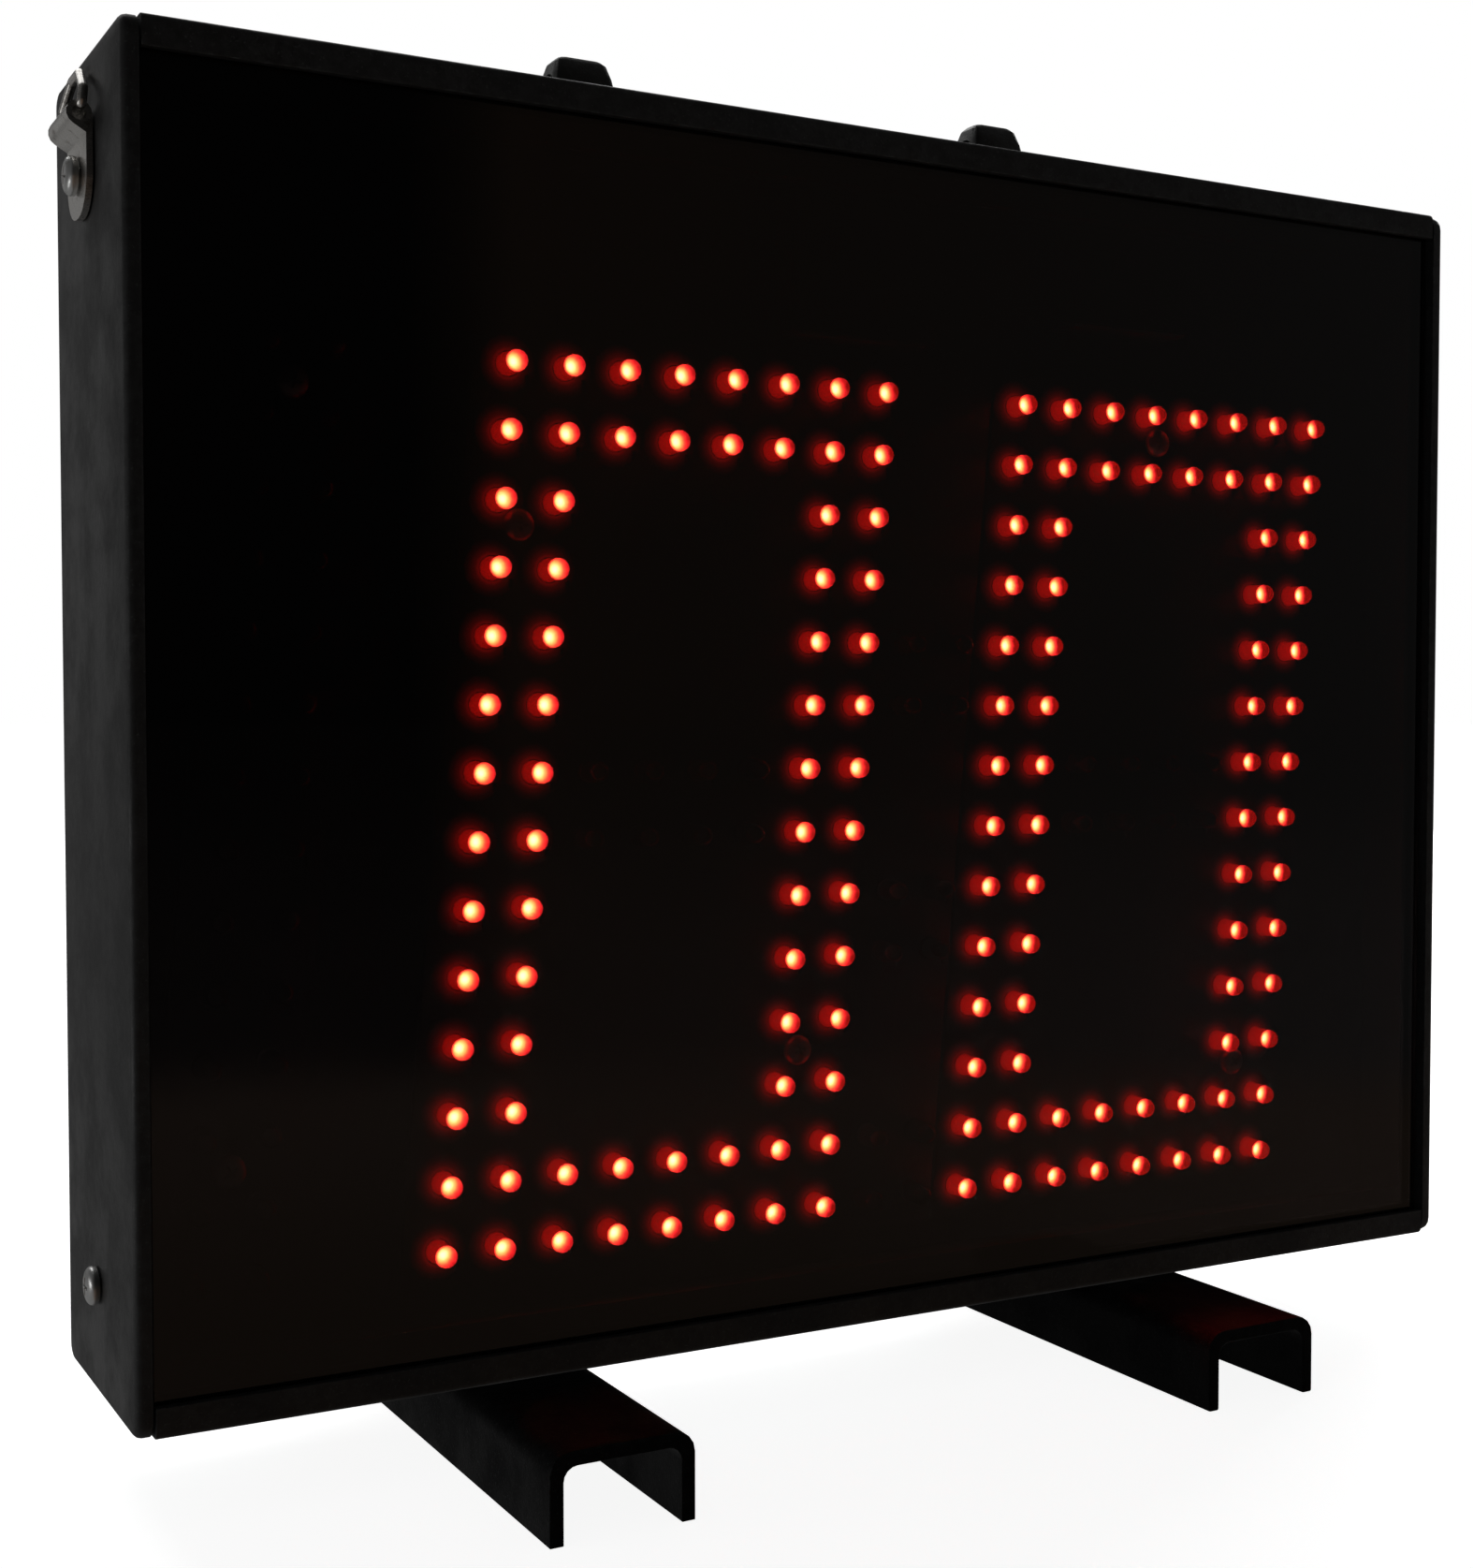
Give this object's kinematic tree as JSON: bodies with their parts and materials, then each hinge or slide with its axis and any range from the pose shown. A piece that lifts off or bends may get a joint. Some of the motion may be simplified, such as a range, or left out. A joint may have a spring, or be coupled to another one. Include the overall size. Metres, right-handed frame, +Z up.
{
  "type": "portable LED speed sign",
  "caption": "Flat boxed LED number display with a tinted window, two channel feet, a folding top handle, hanging rings on its sides and a screwed back with controls.",
  "frame": {"origin": "on the ground plane under the middle of the box", "axes": "+Z up, the display faces -Y, +X to the right as seen from the front"},
  "size_m": [0.3658, 0.153, 0.3139],
  "materials": {
    "powder_coat": "fine-textured matt black powder coat",
    "tinted_window": "glossy dark red-brown tinted acrylic",
    "rubber": "matt black",
    "black_plastic": "fine satin black",
    "bright_steel": "nickel plated, lightly worn",
    "zinc_steel": "zinc plated, satin",
    "chassis_aluminium": "mill finish",
    "led_board": "black solder mask with red LEDs",
    "circuit_board": "green solder mask",
    "standoff_brass": "turned",
    "battery_wrap": "blue shrink wrap",
    "wire_jacket": "red wire insulation",
    "ribbon_jacket": "grey ribbon cable",
    "radar_cover": "grey antenna cover"
  },
  "bodies": {
    "housing": {"battery_bracket": "zinc_steel", "battery_lead": "wire_jacket", "battery_pack": "battery_wrap", "bottom_rail": "powder_coat", "brightness_button_body": "black_plastic", "charge_board": "circuit_board", "charge_inlet": "black_plastic", "chassis_plate": "chassis_aluminium", "control_board": "circuit_board", "display_ribbon": "ribbon_jacket", "foot_left": "powder_coat", "foot_right": "powder_coat", "foot_screw_1": "zinc_steel", "foot_screw_2": "zinc_steel", "foot_screw_3": "zinc_steel", "foot_screw_4": "zinc_steel", "front_window": "tinted_window", "handle_bracket_left": "powder_coat", "handle_bracket_right": "powder_coat", "handle_screw_left": "zinc_steel", "handle_screw_right": "zinc_steel", "hundreds_board": "led_board", "hundreds_standoff_lower": "standoff_brass", "hundreds_standoff_upper": "standoff_brass", "inlet_lead": "wire_jacket", "left_end_plate": "powder_coat", "left_side_screw": "zinc_steel", "left_strap": "bright_steel", "left_strap_screw": "zinc_steel", "mode_button_body": "black_plastic", "power_switch_body": "black_plastic", "radar_module": "radar_cover", "rear_cover": "powder_coat", "rear_cover_gasket": "rubber", "rear_cover_screw_1": "zinc_steel", "rear_cover_screw_2": "zinc_steel", "rear_cover_screw_3": "zinc_steel", "rear_cover_screw_4": "zinc_steel", "right_end_plate": "powder_coat", "right_side_screw": "zinc_steel", "right_strap": "bright_steel", "right_strap_screw": "zinc_steel", "tens_board": "led_board", "tens_standoff_lower": "standoff_brass", "tens_standoff_upper": "standoff_brass", "top_rail": "powder_coat", "units_board": "led_board", "units_standoff_lower": "standoff_brass", "units_standoff_upper": "standoff_brass", "window_gasket": "rubber"},
    "handle": {"handle_bail": "bright_steel", "handle_grip": "rubber"},
    "left_ring": {"left_ring": "bright_steel"},
    "right_ring": {"right_ring": "bright_steel"},
    "rocker": {"power_rocker": "black_plastic"},
    "mode_button": {"mode_button_cap": "rubber"},
    "brightness_button": {"brightness_button_cap": "rubber"},
    "inlet_cap": {"inlet_cap": "rubber"}
  },
  "joints": [
    {"name": "handle_fold", "type": "hinge", "parent": "housing", "child": "handle", "pos_m": [-0.0083, 0.0015, 0.3065], "axis": [1, 0, 0], "range_deg": [0, 100]},
    {"name": "left_ring_swing", "type": "hinge", "parent": "housing", "child": "left_ring", "pos_m": [-0.1804, 0.0015, 0.2847], "axis": [0, -1, 0], "range_deg": [0, 150]},
    {"name": "right_ring_swing", "type": "hinge", "parent": "housing", "child": "right_ring", "pos_m": [0.1804, 0.0015, 0.2847], "axis": [0, 1, 0], "range_deg": [0, 150]},
    {"name": "rocker_tilt", "type": "hinge", "parent": "housing", "child": "rocker", "pos_m": [-0.125, 0.0307, 0.071], "axis": [-1, 0, 0], "range_deg": [0, 16]},
    {"name": "mode_press", "type": "slide", "parent": "housing", "child": "mode_button", "axis": [0, -1, 0], "range_m": [0, 0.0015], "stiffness_N_per_m": 400},
    {"name": "brightness_press", "type": "slide", "parent": "housing", "child": "brightness_button", "axis": [0, -1, 0], "range_m": [0, 0.0015], "stiffness_N_per_m": 400},
    {"name": "inlet_cap_lift", "type": "hinge", "parent": "housing", "child": "inlet_cap", "pos_m": [-0.03, 0.0375, 0.0834], "axis": [1, 0, 0], "range_deg": [0, 110]}
  ]
}
